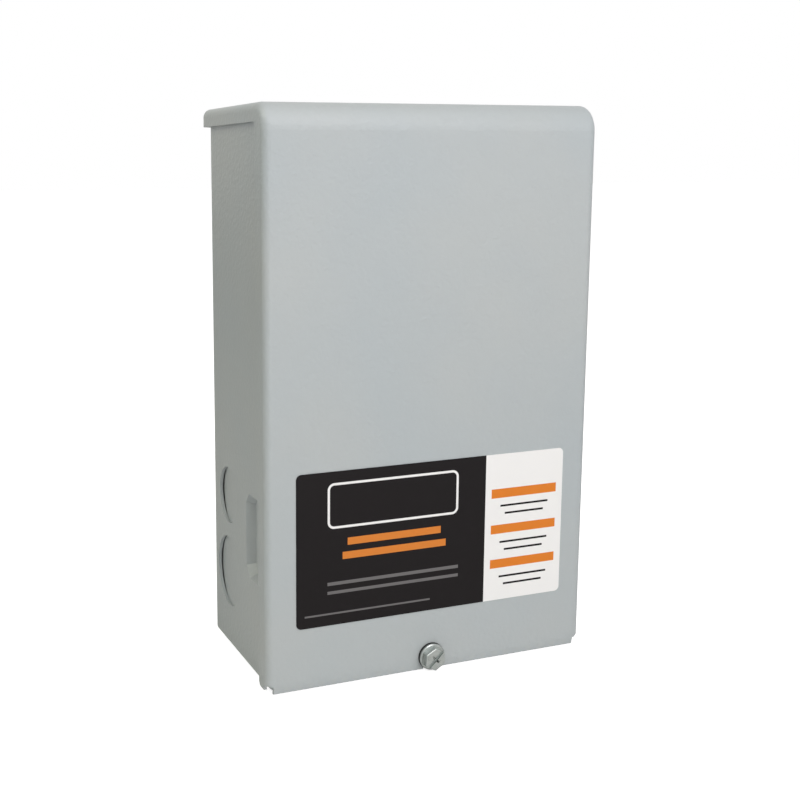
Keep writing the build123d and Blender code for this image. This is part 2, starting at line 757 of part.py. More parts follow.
spring_y = pivot_y - spring_reach * cos(tilt)
spring_bottom = pivot_z - spring_reach * sin(tilt) + armature_thickness / 2 / cos(tilt)
spring_low = spring_bottom + spring_radius * tan(tilt) + spring_wire
spring_high = bobbin_bottom - spring_wire / 2 - touch
with BuildPart() as return_spring:
    with BuildLine(Plane(origin=(relay_x, spring_y, spring_low))) as spring_line:
        Helix(pitch=(spring_high - spring_low) / 4, height=spring_high - spring_low, radius=spring_radius)
    with BuildSketch(Plane(origin=spring_line.line @ 0, z_dir=spring_line.line % 0)):
        Circle(spring_wire / 2)
    sweep(is_frenet=True)
return_spring.part.label = "return_spring"
export_step(return_spring.part, "parts/return_spring.step")


# ---------------------------------------------------------------- overload
lid_thickness = 1.5
overload_front_y = panel_y - overload_depth
lid_y = overload_front_y - lid_thickness
button_y = panel_y - 11.0
button_radius = 4.0
button_gap = 0.05
button_out = 5.0
button_travel = 3.0
button_flange_radius = 5.7
button_flange = 1.5
chamber_radius = 6.0
chamber_floor = overload_bottom + 3.0
spring_room = 10.0
chamber_height = spring_room + button_travel
pocket_width = 24.0
pocket_height = 17.0
pocket_floor_y = panel_y - 6.0
pocket_z = overload_top - 3.0 - pocket_height / 2
rivet_radius = 1.3
rivet_places = [
    (overload_x + side * (overload_width / 2 - 2.6), z)
    for side in (-1, 1)
    for z in (overload_bottom + 3.0, overload_top - 3.0)
]
overload_height = overload_top - overload_bottom
overload_z = (overload_top + overload_bottom) / 2

with BuildPart() as overload_case:
    with BuildSketch(on_back(overload_x, overload_z)):
        RectangleRounded(overload_width, overload_height, 1.5)
    extrude(amount=overload_depth)
    with BuildSketch(on_back(overload_x, overload_ear_z)):
        RectangleRounded(overload_width + 2 * overload_ear, overload_ear_height, 2.0)
    extrude(amount=overload_ear_thickness)
    for x, z in back_screws["overload_screws"]:
        with BuildSketch(on_back(x, z)):
            Circle(screw_radius + free_gap)
        extrude(amount=2 * overload_ear_thickness, mode=Mode.SUBTRACT)
    with BuildSketch(Plane.XY.offset(overload_bottom)):
        with Locations((overload_x, button_y)):
            Circle(button_radius + button_gap)
    extrude(amount=chamber_floor - overload_bottom, mode=Mode.SUBTRACT)
    with BuildSketch(Plane.XY.offset(chamber_floor)):
        with Locations((overload_x, button_y)):
            Circle(chamber_radius)
    extrude(amount=chamber_height, mode=Mode.SUBTRACT)
    with BuildSketch(on_back(overload_x, pocket_z, overload_front_y)):
        Rectangle(pocket_width, pocket_height)
    extrude(amount=-(pocket_floor_y - overload_front_y), mode=Mode.SUBTRACT)
    for x, z in rivet_places:
        with BuildSketch(on_back(x, z, overload_front_y)):
            Circle(rivet_radius + touch)
        extrude(amount=-4.0, mode=Mode.SUBTRACT)
overload_case.part.label = "overload_case"
export_step(overload_case.part, "parts/overload_case.step")

with BuildPart() as overload_lid:
    with BuildSketch(on_back(overload_x, overload_z, overload_front_y)):
        RectangleRounded(overload_width, overload_height, 1.5)
    extrude(amount=lid_thickness)
    for x, z in rivet_places:
        with BuildSketch(on_back(x, z, overload_front_y)):
            Circle(rivet_radius + touch)
        extrude(amount=lid_thickness, mode=Mode.SUBTRACT)
overload_lid.part.label = "overload_lid"
export_step(overload_lid.part, "parts/overload_lid.step")

with BuildPart() as lid_rivets:
    for x, z in rivet_places:
        with BuildSketch(on_back(x, z, lid_y)):
            Circle(rivet_radius + 1.0)
        extrude(amount=0.9)
        with BuildSketch(on_back(x, z, lid_y)):
            Circle(rivet_radius)
        extrude(amount=-(lid_thickness + 3.8))
lid_rivets.part.label = "lid_rivets"
export_step(lid_rivets.part, "parts/lid_rivets.step")

with BuildPart() as bimetal_disc:
    with BuildSketch(on_back(overload_x, pocket_z, pocket_floor_y)):
        Circle(pocket_height / 2 - 1.0)
    extrude(amount=0.5)
bimetal_disc.part.label = "bimetal_disc"
export_step(bimetal_disc.part, "parts/bimetal_disc.step")

flange_rest = chamber_floor + part_gap
with BuildPart() as reset_button:
    with BuildSketch(Plane.XY.offset(overload_bottom - button_out)):
        with Locations((overload_x, button_y)):
            Circle(button_radius)
    extrude(amount=flange_rest - overload_bottom + button_out)
    fillet(reset_button.edges().sort_by(Axis.Z)[0], radius=1.2)
    with BuildSketch(Plane.XY.offset(flange_rest)):
        with Locations((overload_x, button_y)):
            Circle(button_flange_radius)
    extrude(amount=button_flange)
reset_button.part.label = "reset_button"
export_step(reset_button.part, "parts/reset_button.step")

reset_wire = 0.6
reset_low = flange_rest + button_flange + reset_wire / 2 + touch
reset_high = chamber_floor + chamber_height - reset_wire / 2 - touch
with BuildPart() as reset_spring:
    with BuildLine(Plane(origin=(overload_x, button_y, reset_low))) as reset_line:
        Helix(pitch=(reset_high - reset_low) / 5, height=reset_high - reset_low, radius=4.4)
    with BuildSketch(Plane(origin=reset_line.line @ 0, z_dir=reset_line.line % 0)):
        Circle(reset_wire / 2)
    sweep(is_frenet=True)
reset_spring.part.label = "reset_spring"
export_step(reset_spring.part, "parts/reset_spring.step")

# ---------------------------------------------------------------- terminal block
barrier_thickness = 2.4
barrier_height = 9.0
plate_thickness = 0.9
plate_height = 24.0
plate_margin = 0.6
binding_radius = 3.9
binding_height = 2.2
binding_length = 7.0
binding_rows = (-7.5, 4.5)
block_face_y = panel_y - block_depth
plate_y = block_face_y - plate_thickness
pole_x = [(pole - (pole_count - 1) / 2) * pole_pitch for pole in range(pole_count)]
binding_places = [(x, block_z + row) for x in pole_x for row in binding_rows]

with BuildPart() as terminal_block:
    with BuildSketch(on_back(0, block_z)):
        Rectangle(block_width, block_height)
    extrude(amount=block_depth)
    with BuildSketch(on_back(0, block_z)):
        RectangleRounded(block_width + 2 * block_ear, block_height / 2, 2.5)
    extrude(amount=block_depth / 2)
    with BuildSketch(on_back(0, block_z, block_face_y)):
        with GridLocations(pole_pitch, 0, pole_count + 1, 1):
            Rectangle(barrier_thickness, block_height)
    extrude(amount=barrier_height)
    for x, z in back_screws["block_screws"]:
        with BuildSketch(on_back(x, z)):
            Circle(screw_radius + free_gap)
        extrude(amount=block_depth, mode=Mode.SUBTRACT)
    for x, z in binding_places:
        with BuildSketch(on_back(x, z, block_face_y)):
            Circle(screw_radius + tapped_gap)
        extrude(amount=-binding_length - part_gap, mode=Mode.SUBTRACT)
terminal_block.part.label = "terminal_block"
export_step(terminal_block.part, "parts/terminal_block.step")

block_tab_z = block_z + plate_height / 2 - tab_thickness / 2
with BuildPart() as terminal_plates:
    for x in pole_x:
        with BuildSketch(on_back(x, block_z, block_face_y)):
            Rectangle(pole_pitch - barrier_thickness - 2 * plate_margin, plate_height)
        extrude(amount=plate_thickness)
    for x, z in binding_places:
        with BuildSketch(on_back(x, z, block_face_y)):
            Circle(screw_radius + tapped_gap)
        extrude(amount=2 * plate_thickness, mode=Mode.SUBTRACT)
    for x in pole_x:
        with BuildSketch(on_back(x, block_tab_z, plate_y)):
            Rectangle(tab_width, tab_thickness)
        extrude(amount=tab_length)
terminal_plates.part.label = "terminal_plates"
export_step(terminal_plates.part, "parts/terminal_plates.step")

with BuildPart() as binding_screws:
    for x, z in binding_places:
        with BuildSketch(on_back(x, z, plate_y)):
            Circle(binding_radius)
        extrude(amount=binding_height)
        with BuildSketch(on_back(x, z, plate_y)):
            Circle(screw_radius)
        extrude(amount=-binding_length)
        with BuildSketch(on_back(x, z, plate_y - binding_height)):
            Rectangle(2 * binding_radius, 1.1)
        extrude(amount=-1.1, mode=Mode.SUBTRACT)
binding_screws.part.label = "binding_screws"
export_step(binding_screws.part, "parts/binding_screws.step")

# ---------------------------------------------------------------- push-on tabs
# a plane at the root of each tab: z along the tab, x across its width
relay_tab_x = relay_x + relay_width / 2 - 4.0
overload_tab_z = overload_bottom + 9.0
tab_planes = {}
for name, drop in {"coil": 7.0, "common": 20.0, "contact": 33.0}.items():
    tab_planes[f"relay_{name}"] = Plane(
        origin=(relay_tab_x, relay_face_y, relay_top - drop), x_dir=(0, 0, 1), z_dir=(0, -1, 0)
    )
for name, side in {"line": -1, "motor": 1}.items():
    tab_planes[f"overload_{name}"] = Plane(
        origin=(overload_x + side * 9.0, lid_y, overload_tab_z), x_dir=(0, 0, 1), z_dir=(0, -1, 0)
    )
for name, y in {"front": can_y - can_tab_offset, "rear": can_y + can_tab_offset}.items():
    tab_planes[f"can_{name}"] = Plane(origin=(cap_face_x, y, can_z), x_dir=(0, 0, 1), z_dir=(1, 0, 0))
for number, x in enumerate(pole_x, start=1):
    tab_planes[f"pole_{number}"] = Plane(
        origin=(x, plate_y, block_tab_z), x_dir=(1, 0, 0), z_dir=(0, -1, 0)
    )

for owner in ("relay", "overload"):
    with BuildPart() as tab_set:
        for name, tab_plane in tab_planes.items():
            if name.startswith(owner):
                with BuildSketch(tab_plane):
                    Rectangle(tab_width, tab_thickness)
                extrude(amount=tab_length)
    tab_set.part.label = f"{owner}_tabs"
    export_step(tab_set.part, f"parts/{owner}_tabs.step")

# ---------------------------------------------------------------- internal leads
lead_radius = 1.5
lead_straight = 12.0          # a lead leaves its receptacle straight this far
receptacle_length = 14.0
receptacle_gap = 1.2          # tab root to the receptacle
slot_gap = 0.25

# from one tab to another by way of points chosen by hand
lead_routes = {
    "lead_orange": (
        "can_rear",
        [(59, -29, 44), (58.5, -40, 20), (57, -48, -6), (50, -54, -28)],
        "pole_5",
    ),
    "lead_black": ("overload_motor", [(33, -63, -24)], "pole_4"),
    "lead_blue": ("overload_line", [(12, -62, -25)], "pole_3"),
    "lead_red": (
        "can_front",
        [(56, -47, 46), (38, -57, 38), (16, -57, 27), (1, -51, 11)],
        "relay_contact",
    ),
    "lead_white": ("relay_common", [(-17, -45, 5), (-18.6, -49, -13), (-18.6, -50, -30)], "pole_2"),
    "lead_yellow": ("relay_coil", [(-14, -50, 20), (-16, -56, 1), (-24, -57, -22)], "pole_1"),
}


def beyond_tab(tab_name, distance=0.0):
    """A point straight out from the receptacle on this tab; at its end when distance is 0."""
    return tab_planes[tab_name].from_local_coords((0, 0, receptacle_gap + receptacle_length + distance))


def bend_radii(points):
    """The largest arc that two neighbouring runs leave room for, at each corner."""
    radii = []
    for before, here, after in zip(points, points[1:], points[2:]):
        run_in, run_out = here - before, after - here
        turn = radians(run_in.get_angle(run_out))
        radii.append(0.45 * min(run_in.length, run_out.length) / tan(turn / 2))
    return radii


with BuildPart() as receptacles:
    for start, _, end in lead_routes.values():
        for tab_name in (start, end):
            with BuildSketch(tab_planes[tab_name].offset(receptacle_gap)):
                RectangleRounded(9.2, 4.6, 1.4)
                Rectangle(tab_width + 2 * slot_gap, tab_thickness + 2 * slot_gap, mode=Mode.SUBTRACT)
            extrude(amount=receptacle_length - 4)
            with BuildSketch(tab_planes[tab_name].offset(receptacle_gap + receptacle_length - 4)):
                RectangleRounded(9.2, 4.6, 1.4)
            extrude(amount=4, taper=12)
receptacles.part.label = "receptacles"
export_step(receptacles.part, "parts/receptacles.step")

for name, (start, middle, end) in lead_routes.items():
    route = [beyond_tab(start), beyond_tab(start, lead_straight)]
    route += [Vector(*point) for point in middle]
    route += [beyond_tab(end, lead_straight), beyond_tab(end)]
    radii = bend_radii(route)
    print(name, "bend radii", [round(radius, 1) for radius in radii])
    with BuildPart() as lead:
        with BuildLine() as lead_path:
            FilletPolyline(*route, radius=radii)
        with BuildSketch(Plane(origin=lead_path.line @ 0, z_dir=lead_path.line % 0)):
            Circle(lead_radius)
        sweep()
    print(name, "length", round(sum(edge.length for edge in lead_path.edges()), 1))
    lead.part.label = name
    export_step(lead.part, f"parts/{name}.step")
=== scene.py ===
# A wall-mounted motor control box in grey enamel, with its cover, label and everything inside.
# Metres throughout. X is to the right of someone facing the cover, +Y goes into the wall, +Z is up.
import json
import math

import bpy
import numpy as np
from mathutils import Matrix, Vector


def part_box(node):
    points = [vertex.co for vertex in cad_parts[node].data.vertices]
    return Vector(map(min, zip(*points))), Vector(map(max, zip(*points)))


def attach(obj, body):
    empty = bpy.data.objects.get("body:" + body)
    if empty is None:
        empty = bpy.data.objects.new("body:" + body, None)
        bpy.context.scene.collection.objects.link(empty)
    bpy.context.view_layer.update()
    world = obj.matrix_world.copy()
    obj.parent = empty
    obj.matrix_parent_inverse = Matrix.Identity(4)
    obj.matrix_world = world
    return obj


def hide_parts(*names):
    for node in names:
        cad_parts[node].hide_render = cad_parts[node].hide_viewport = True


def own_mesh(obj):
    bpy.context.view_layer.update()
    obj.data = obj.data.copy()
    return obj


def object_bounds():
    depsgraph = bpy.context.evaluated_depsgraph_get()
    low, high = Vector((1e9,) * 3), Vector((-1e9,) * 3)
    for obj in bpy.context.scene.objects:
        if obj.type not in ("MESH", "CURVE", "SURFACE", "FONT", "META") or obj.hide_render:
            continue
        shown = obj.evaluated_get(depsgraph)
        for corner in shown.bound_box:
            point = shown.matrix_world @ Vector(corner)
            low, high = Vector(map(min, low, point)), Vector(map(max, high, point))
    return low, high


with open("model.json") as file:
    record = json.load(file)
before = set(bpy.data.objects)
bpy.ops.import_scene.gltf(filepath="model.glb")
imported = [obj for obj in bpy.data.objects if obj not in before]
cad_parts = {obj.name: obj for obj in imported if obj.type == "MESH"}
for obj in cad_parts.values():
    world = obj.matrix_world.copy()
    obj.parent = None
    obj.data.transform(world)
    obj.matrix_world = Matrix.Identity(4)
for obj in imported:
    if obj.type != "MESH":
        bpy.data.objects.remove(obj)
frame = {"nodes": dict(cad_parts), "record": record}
loLoaded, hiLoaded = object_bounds()
nodes = frame["nodes"]
scene = bpy.context.scene
print("frame loaded:", len(nodes), "nodes")


def linear(hexColour):
    # sRGB hex to linear: below 0.04045 a plain division, above it a 2.4 power
    parts = [int(hexColour[i : i + 2], 16) / 255 for i in (1, 3, 5)]
    return tuple(c / 12.92 if c <= 0.04045 else ((c + 0.055) / 1.055) ** 2.4 for c in parts) + (1.0,)


# ---- camera: at the height and turn a person has in front of a box on a bench
cameraSetup = {
    "place": (-0.21687, -0.51939, 0.10522),
    "turn": 0.427,  # radians to the right of straight on
    "tilt": 0.183,  # radians downwards
    "roll": 0.012,
    "lens": 60.81,
    "shiftUp": -0.05,
}


def makeCamera(setup):
    # the view direction from turn and tilt, then right and up turned by the roll
    turn, tilt, roll = setup["turn"], setup["tilt"], setup["roll"]
    ahead = Vector((math.sin(turn) * math.cos(tilt), math.cos(turn) * math.cos(tilt), -math.sin(tilt)))
    right = Vector((math.cos(turn), -math.sin(turn), 0.0))
    up = right.cross(ahead)
    rolledRight = right * math.cos(roll) + up * math.sin(roll)
    rolledUp = up * math.cos(roll) - right * math.sin(roll)
    data = bpy.data.cameras.new("camera")
    data.sensor_width = 36.0
    data.lens = setup["lens"]
    data.shift_y = setup["shiftUp"]
    data.clip_start, data.clip_end = 0.01, 20.0
    camera = bpy.data.objects.new("camera", data)
    basis = Matrix((rolledRight, rolledUp, -ahead)).transposed()
    camera.matrix_world = Matrix.Translation(setup["place"]) @ basis.to_4x4()
    scene.collection.objects.link(camera)
    scene.camera = camera


makeCamera(cameraSetup)
scene.view_settings.view_transform = "Standard"
print("camera placed")


# ---- one small function adds a node with its settings and links
def addNode(tree, kind, settings=None, links=None):
    node = tree.nodes.new(kind)
    for name, value in (settings or {}).items():
        if name.startswith("in:"):
            key = name[3:]
            node.inputs[int(key) if key.isdigit() else key].default_value = value
        else:
            setattr(node, name, value)
    for name, source in (links or {}).items():
        tree.links.new(source, node.inputs[int(name) if name.isdigit() else name])
    return node


def maths(tree, operation, *values):
    # one Math node; each value is a number or a socket
    node = addNode(tree, "ShaderNodeMath", {"operation": operation})
    for socket, value in zip(node.inputs, values):
        if isinstance(value, (int, float)):
            socket.default_value = value
        else:
            tree.links.new(value, socket)
    return node.outputs[0]


def newMaterial(name, shader):
    # an empty material with a Principled shader, its constants set on the shader's own sockets
    material = bpy.data.materials.new(name)
    material.use_nodes = True
    tree = material.node_tree
    tree.nodes.clear()
    surface = addNode(tree, "ShaderNodeBsdfPrincipled", {"in:" + k: v for k, v in shader.items()})
    addNode(tree, "ShaderNodeOutputMaterial", links={"Surface": surface.outputs[0]})
    place = addNode(tree, "ShaderNodeTexCoord").outputs["Object"]
    return material, tree, surface, place


def mixColours(tree, factor, first, second):
    # first where factor is 0, second where it is 1; either is a hex string or a socket
    mix = addNode(tree, "ShaderNodeMix", {"data_type": "RGBA"}, {"0": factor})
    for slot, value in ((6, first), (7, second)):
        if isinstance(value, str):
            mix.inputs[slot].default_value = linear(value)
        else:
            tree.links.new(value, mix.inputs[slot])
    return mix.outputs[2]


# ---- finishes: each starts from what the real surface is; the sizes in the looks are in mm, the depths in m
plasticIor = 1.5  # enamel, moulded plastic and polyester film are all near this


def bakedEnamel(name, look):
    # polyester powder enamel on steel: a fine orange peel about 1.6 mm across, and a slow drift of tone
    material, tree, surface, place = newMaterial(name, {"Roughness": look["roughness"], "IOR": plasticIor})
    peel = addNode(
        tree,
        "ShaderNodeTexNoise",
        {"in:Scale": 1000.0 / look["peelSize"], "in:Detail": 2.0, "in:Roughness": 0.45},
        {"Vector": place},
    )
    driftNoise = {"in:Scale": look["driftsPerMetre"], "in:Detail": 2.0}
    drift = addNode(tree, "ShaderNodeTexNoise", driftNoise, {"Vector": place})
    driftAmount = addNode(
        tree, "ShaderNodeMapRange", {"in:From Min": 0.35, "in:From Max": 0.65}, {"Value": drift.outputs[0]}
    )
    colour = mixColours(tree, driftAmount.outputs[0], look["colour"], look["colourWarm"])
    tree.links.new(colour, surface.inputs["Base Color"])
    bump = addNode(
        tree,
        "ShaderNodeBump",
        {"in:Strength": look["peelStrength"], "in:Distance": look["peelDepth"]},
        {"Height": peel.outputs[0]},
    )
    tree.links.new(bump.outputs[0], surface.inputs["Normal"])
    return material


def plainPlastic(name, look):
    # moulded plastic or cord insulation: mould texture under 1 mm, a slight drift of tone
    material, tree, surface, place = newMaterial(name, {"Roughness": look["roughness"], "IOR": plasticIor})
    grainScale = 1000.0 / look["grainSize"]
    grain = addNode(tree, "ShaderNodeTexNoise", {"in:Scale": grainScale, "in:Detail": 3.0}, {"Vector": place})
    colour = mixColours(tree, grain.outputs[0], look["colour"], look["colourSecond"])
    tree.links.new(colour, surface.inputs["Base Color"])
    bump = addNode(
        tree,
        "ShaderNodeBump",
        {"in:Strength": 0.25, "in:Distance": look["grainDepth"]},
        {"Height": grain.outputs[0]},
    )
    tree.links.new(bump.outputs[0], surface.inputs["Normal"])
    return material


def platedMetal(name, look):
    # rolled, stamped or plated metal: fine scratches along the rolling direction, patches of duller plating
    # about 4 mm across
    material, tree, surface, place = newMaterial(name, {"Metallic": 1.0})
    stretch = addNode(tree, "ShaderNodeMapping", {"in:Scale": look["stretch"]}, {"Vector": place})
    scratches = addNode(
        tree,
        "ShaderNodeTexNoise",
        {"in:Scale": 1000.0 / look["scratchSize"], "in:Detail": 4.0},
        {"Vector": stretch.outputs[0]},
    )
    patches = addNode(tree, "ShaderNodeTexNoise", {"in:Scale": 260.0, "in:Detail": 2.0}, {"Vector": place})
    colour = mixColours(tree, patches.outputs[0], look["colour"], look["colourDull"])
    tree.links.new(colour, surface.inputs["Base Color"])
    spread = {"in:From Min": 0.3, "in:From Max": 0.7}
    spread.update({"in:To Min": look["roughLow"], "in:To Max": look["roughHigh"]})
    rough = addNode(tree, "ShaderNodeMapRange", spread, {"Value": scratches.outputs[0]})
    tree.links.new(rough.outputs[0], surface.inputs["Roughness"])
    bump = addNode(
        tree, "ShaderNodeBump", {"in:Strength": 0.2, "in:Distance": 0.00003}, {"Height": scratches.outputs[0]}
    )
    tree.links.new(bump.outputs[0], surface.inputs["Normal"])
    return material


def softFoam(name, look):
    # closed-cell foam or moulded rubber: open pores where it was cut, no shine
    material, tree, surface, place = newMaterial(name, {"Roughness": look["roughness"]})
    pores = addNode(tree, "ShaderNodeTexVoronoi", {"in:Scale": 1000.0 / look["poreSize"]}, {"Vector": place})
    colour = mixColours(tree, pores.outputs["Distance"], look["colour"], look["colourSecond"])
    tree.links.new(colour, surface.inputs["Base Color"])
    bump = addNode(
        tree,
        "ShaderNodeBump",
        {"in:Strength": 0.6, "in:Distance": 0.0002},
        {"Height": pores.outputs["Distance"]},
    )
    tree.links.new(bump.outputs[0], surface.inputs["Normal"])
    return material


# ---- the printed label: plain blocks, an empty rounded frame, bars and rules, each left, right, bottom, top
# in mm from the middle of the cover and above its bottom edge
softEdge = 0.1  # mm, the blur at the edge of an ink
labelPrint = {
    "bottomEdge": -108.0,
    "black": "#1c191a",
    "white": "#f1f0ee",
    "orange": "#e0812f",
    "orangeText": "#d98238",
    "grey": "#6e6c6c",
    "split": 22.3,
    "frameBox": (-43.0, 10.5, 61.4, 78.7),
    "frameLine": 0.9,
    "frameCorner": 2.6,
    "bars": [(25.0, 53.6, 65.6, 69.2), (25.0, 53.6, 51.2, 54.7), (25.0, 53.6, 37.2, 40.7)],
    "orangeRules": [(-35.0, 3.2, 54.6, 57.3), (-37.0, 5.4, 49.3, 52.0)],
    "greyRules": [(-43.0, 10.9, 39.6, 40.8), (-43.0, 10.9, 36.2, 37.3)],
    "smallRules": [(-52.0, -1.0, 28.3, 28.9)],
    "darkRules": [
        (29.0, 50.0, 62.0, 62.7),
        (31.0, 48.0, 58.9, 59.6),
        (29.0, 50.0, 47.3, 48.0),
        (31.0, 48.0, 44.2, 44.9),
        (29.0, 50.0, 33.2, 33.9),
        (31.0, 48.0, 30.1, 30.8),
    ],
    "roughness": 0.42,
}


def insideBox(tree, x, z, box, corner=0.0):
    # 1 inside the box and 0 outside, over the soft edge: the distance to a rounded rectangle is the length of
    # the positive part of (|p - centre| - half + corner), less the corner
    x0, x1, z0, z1 = box
    squares = []
    for socket, low, high in ((x, x0, x1), (z, z0, z1)):
        size = maths(tree, "ABSOLUTE", maths(tree, "SUBTRACT", socket, (low + high) / 2))
        over = maths(tree, "SUBTRACT", size, (high - low) / 2 - corner)
        squares.append(maths(tree, "POWER", maths(tree, "MAXIMUM", over, 0.0), 2.0))
    length = maths(tree, "SQRT", maths(tree, "ADD", *squares))
    fade = {"in:From Min": corner, "in:From Max": corner + softEdge, "in:To Min": 1.0, "in:To Max": 0.0}
    edge = addNode(tree, "ShaderNodeMapRange", fade, {"Value": length})
    return edge.outputs[0]


def printedFilm(name, look):
    # screen-printed polyester film with a satin laminate: flat inks, one even gloss
    gloss = {"Roughness": look["roughness"], "IOR": plasticIor, "Specular IOR Level": 0.12}
    material, tree, surface, place = newMaterial(name, gloss)
    split = addNode(tree, "ShaderNodeSeparateXYZ", links={"0": place})
    x = maths(tree, "MULTIPLY", split.outputs[0], 1000.0)
    z = maths(tree, "MULTIPLY_ADD", split.outputs[2], 1000.0, -look["bottomEdge"])
    change = {"in:From Min": look["split"] - softEdge / 2, "in:From Max": look["split"] + softEdge / 2}
    onWhite = addNode(tree, "ShaderNodeMapRange", change, {"Value": x})
    colour = mixColours(tree, onWhite.outputs[0], look["black"], look["white"])
    x0, x1, z0, z1 = look["frameBox"]
    line = look["frameLine"]
    rim = insideBox(tree, x, z, look["frameBox"], look["frameCorner"])
    colour = mixColours(tree, rim, colour, look["white"])
    inner = (x0 + line, x1 - line, z0 + line, z1 - line)
    hollow = insideBox(tree, x, z, inner, look["frameCorner"] - line)
    colour = mixColours(tree, hollow, colour, look["black"])
    for boxes, ink in (
        (look["orangeRules"], look["orangeText"]),
        (look["greyRules"], look["grey"]),
        (look["smallRules"], look["grey"]),
        (look["bars"], look["orange"]),
        (look["darkRules"], look["black"]),
    ):
        for box in boxes:
            colour = mixColours(tree, insideBox(tree, x, z, box), colour, ink)
    tree.links.new(colour, surface.inputs["Base Color"])
    film = addNode(tree, "ShaderNodeTexNoise", {"in:Scale": 350.0, "in:Detail": 1.0}, {"Vector": place})
    ripple = {"in:Strength": 0.08, "in:Distance": 0.0001}
    bump = addNode(tree, "ShaderNodeBump", ripple, {"Height": film.outputs[0]})
    tree.links.new(bump.outputs[0], surface.inputs["Normal"])
    return material


enamelLook = {
    "colour": "#b0b7b9",
    "colourWarm": "#b4b9b9",
    "roughness": 0.38,
    "peelSize": 1.6,
    "driftsPerMetre": 14.0,
    "peelStrength": 0.9,
    "peelDepth": 0.0002,
}
metalFields = ("colour", "colourDull", "roughLow", "roughHigh", "scratchSize", "stretch")
metalTable = {
    # bright plate, faintly blue, with duller patches
    "zinc_plate": ("#c3c7c5", "#9aa09d", 0.24, 0.42, 0.5, (1, 1, 1)),
    # soft white metal with a warm cast, rubbed along its length
    "tinned_brass": ("#cfcbc0", "#b7b2a4", 0.28, 0.46, 0.5, (1, 1, 6)),
    # satin strip, even and grey
    "strap_steel": ("#bfc2c0", "#a4a8a6", 0.32, 0.52, 0.6, (1, 1, 6)),
    # matt grey stampings, rolled across
    "soft_iron": ("#b3b3ae", "#98978f", 0.35, 0.55, 0.4, (6, 1, 1)),
    # yellow spring brass
    "contact_brass": ("#c9a259", "#ab8544", 0.25, 0.42, 0.4, (1, 1, 6)),
    # dark drawn wire
    "spring_steel": ("#9a9a98", "#7d7d7b", 0.25, 0.4, 0.4, (1, 1, 1)),
    # lacquered red-brown wire
    "copper_wire": ("#a4532a", "#7f3a1b", 0.22, 0.38, 0.3, (1, 1, 8)),
}
metalLooks = {slot: dict(zip(metalFields, row)) for slot, row in metalTable.items()}
greenZincLook = dict(zip(metalFields, ("#3d8a4e", "#2d7040", 0.3, 0.45, 0.5, (1, 1, 1))))  # dyed clear green
plasticFields = ("colour", "colourSecond", "roughness", "grainSize", "grainDepth")
plasticTable = {
    # hard mouldings with a dull sheen and a fine mould grain
    "black_phenolic": ("#1f1f20", "#2b2a2a", 0.42, 0.8, 0.00006),
    "brown_phenolic": ("#4a2f1d", "#5a3a24", 0.5, 0.5, 0.00005),
    # tan lacquered ceramic
    "resistor_body": ("#b79f78", "#a98f67", 0.4, 0.6, 0.00004),
    # creamy, a little waxy
    "white_nylon": ("#e3dfd3", "#d8d3c4", 0.4, 0.9, 0.00005),
    # smooth and bright
    "red_plastic": ("#b8201b", "#a81a16", 0.3, 0.9, 0.00003),
    # milky sleeves
    "clear_vinyl": ("#cdc8ba", "#bdb7a7", 0.3, 0.9, 0.00003),
    # lead insulation, smooth with a soft sheen
    "orange_vinyl": ("#d9691c", "#cc5f17", 0.42, 1.2, 0.00003),
    "black_vinyl": ("#222224", "#2c2c2e", 0.42, 1.2, 0.00003),
    "blue_vinyl": ("#24509c", "#1f478c", 0.42, 1.2, 0.00003),
    "red_vinyl": ("#b3231f", "#a31e1a", 0.42, 1.2, 0.00003),
    "white_vinyl": ("#dedcd5", "#d3d0c8", 0.42, 1.2, 0.00003),
    "yellow_vinyl": ("#d8b022", "#cba41c", 0.42, 1.2, 0.00003),
}
plasticLooks = {slot: dict(zip(plasticFields, row)) for slot, row in plasticTable.items()}
softLooks = {
    # near black and matt, with cut pores; the rubber is closer and smoother. The foam strip's near black is
    # painted shade: it stands in for the shadow inside the cover's rear hook
    "foam": {"colour": "#191919", "colourSecond": "#2b2b2b", "roughness": 0.9, "poreSize": 0.7},
    # the sealing washer is a real rubber part, and its near black is also painted shade for the shadow gap
    # behind the screw head
    "seal_rubber": {"colour": "#141414", "colourSecond": "#1f1f1f", "roughness": 0.65, "poreSize": 0.5},
}

finishes = {
    "enamel": bakedEnamel("baked_grey_enamel", enamelLook),
    "label_film": printedFilm("printed_polyester_film", labelPrint),
}
finishes.update({slot: platedMetal(slot, look) for slot, look in metalLooks.items()})
finishes.update({slot: plainPlastic(slot, look) for slot, look in plasticLooks.items()})
finishes.update({slot: softFoam(slot, look) for slot, look in softLooks.items()})
finishes["green_zinc"] = platedMetal("green_dyed_zinc", greenZincLook)
slotOfNode = {part["node"]: part["material_slot"] for part in frame["record"]["subparts"]}
for name, piece in nodes.items():
    for place in piece.material_slots:
        place.material = finishes[slotOfNode[name]]
print("finishes given:", len(finishes))


# ---- pieces worked out as surfaces: each is a grid of points, rows along it and columns round it
def meshFromGrid(name, grid, closedEnds):
    # grid is rows x columns x 3, wrapping round the columns; ends are closed by one face each, or joined
    rows, columns = grid.shape[:2]
    index = np.arange(rows * columns).reshape(rows, columns)
    lower, upper = (index[:-1], index[1:]) if closedEnds else (index, np.roll(index, -1, axis=0))
    quads = np.stack([lower, np.roll(lower, -1, axis=1), np.roll(upper, -1, axis=1), upper], axis=-1)
    faces = quads.reshape(-1, 4).tolist()
    if closedEnds:
        faces += [index[0, ::-1].tolist(), index[-1].tolist()]
    mesh = bpy.data.meshes.new(name)
    mesh.from_pydata(grid.reshape(-1, 3).tolist(), [], faces)
    mesh.polygons.foreach_set("use_smooth", np.ones(len(mesh.polygons), dtype=bool))
    mesh.update()
    piece = bpy.data.objects.new(name, mesh)
    scene.collection.objects.link(piece)
    return piece


